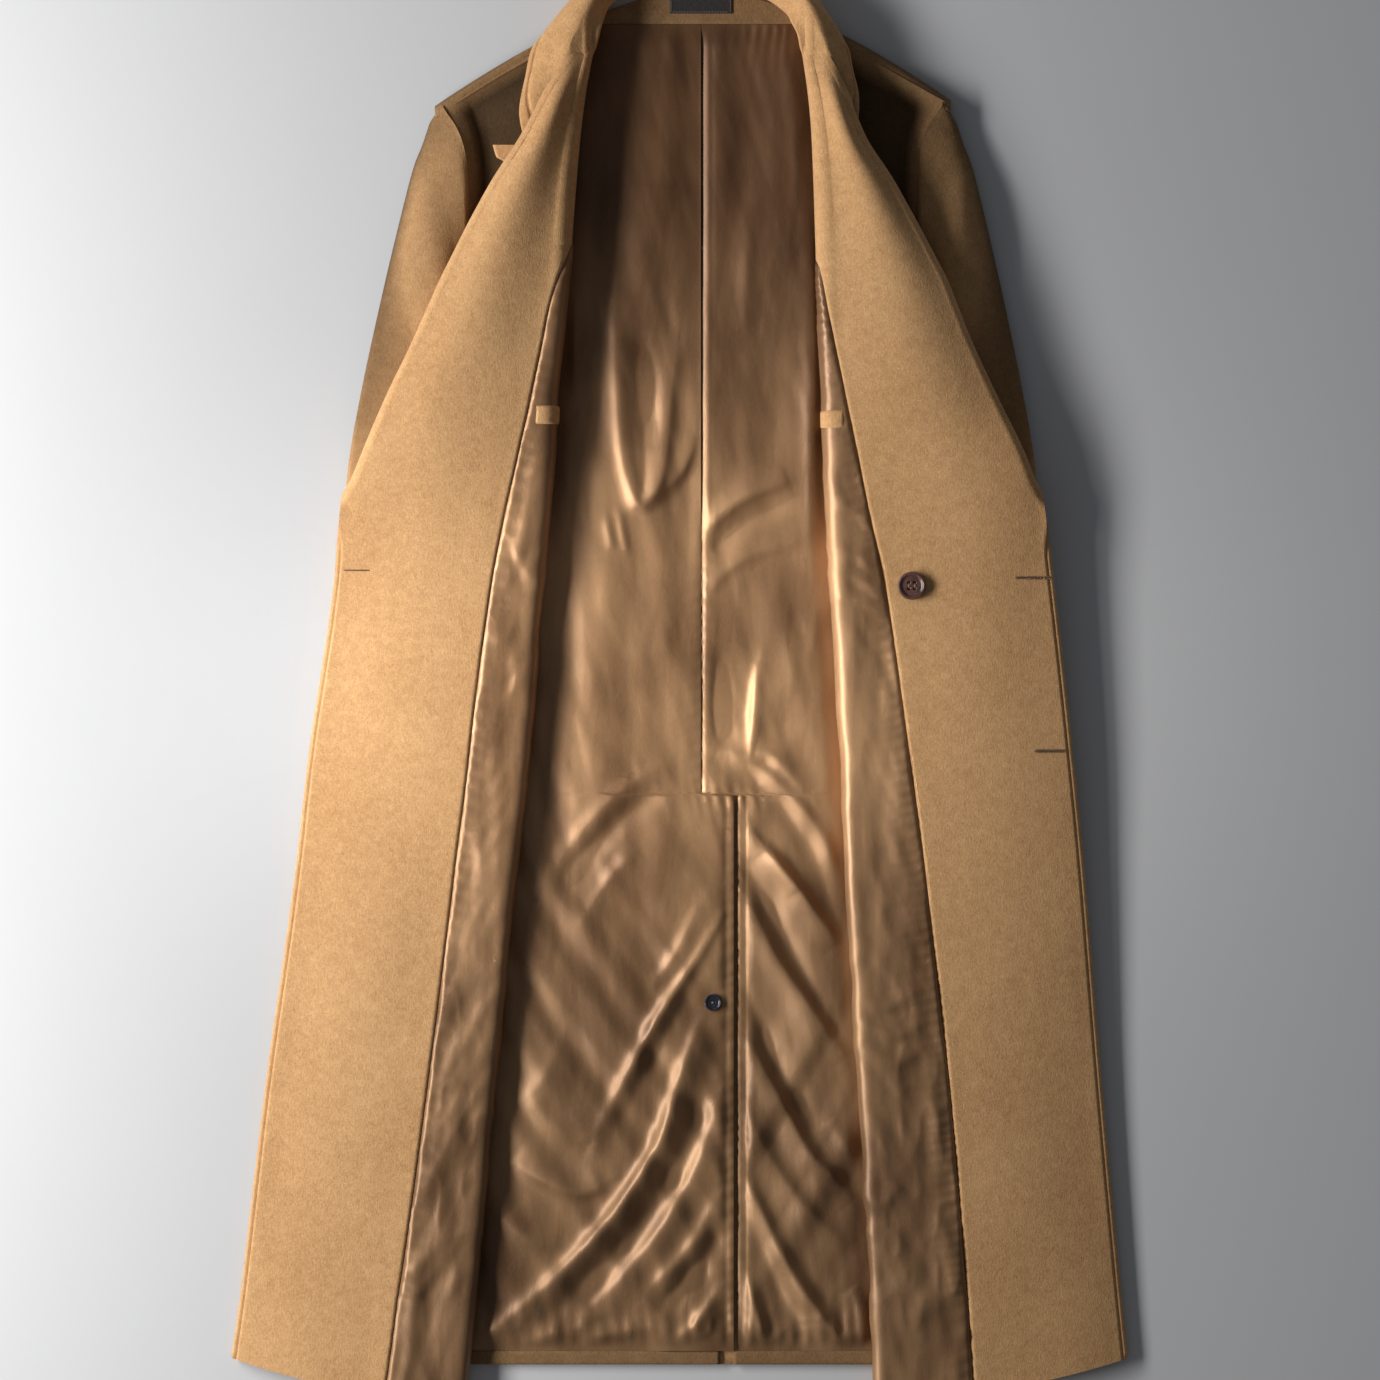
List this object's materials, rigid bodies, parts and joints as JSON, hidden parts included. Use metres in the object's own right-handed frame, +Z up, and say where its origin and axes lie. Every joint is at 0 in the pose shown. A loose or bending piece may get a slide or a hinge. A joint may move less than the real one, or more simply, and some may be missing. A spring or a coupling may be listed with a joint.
{
  "type": "wool overcoat",
  "caption": "Long camel double-breasted wool overcoat with peak lapels, laid open on its back to show its bronze satin lining, black neck label, vent and inside button.",
  "frame": {"origin": "middle of the underside's bounding box, on the surface that the coat lies on", "axes": "+Y from the hem to the collar, +Z up from the surface, +X to the viewer's right"},
  "size_m": [0.782, 1.2728, 0.0479],
  "materials": {
    "wool": "felted nap",
    "lining": "satin",
    "label": "woven",
    "button": "polished horn",
    "snap": "gloss"
  },
  "bodies": {
    "root": {"front_left": "wool", "front_right": "wool", "facing_left": "wool", "facing_right": "wool", "front_lining_left": "lining", "front_lining_right": "lining", "lapel_left": "wool", "lapel_right": "wool", "back_left": "wool", "back_right": "wool", "hem_left": "wool", "hem_right": "wool", "back_lining_left": "lining", "back_lining_right": "lining", "sleeve_top_left": "wool", "sleeve_top_right": "wool", "sleeve_under_left": "wool", "sleeve_under_right": "wool", "pocket_tab_left": "wool", "pocket_tab_right": "wool", "vent_underlap": "wool", "back_neck_facing": "wool", "label": "label", "collar": "wool", "inside_button": "button", "front_button_upper": "button", "front_button_lower": "button", "vent_button": "snap"}
  },
  "joints": []
}
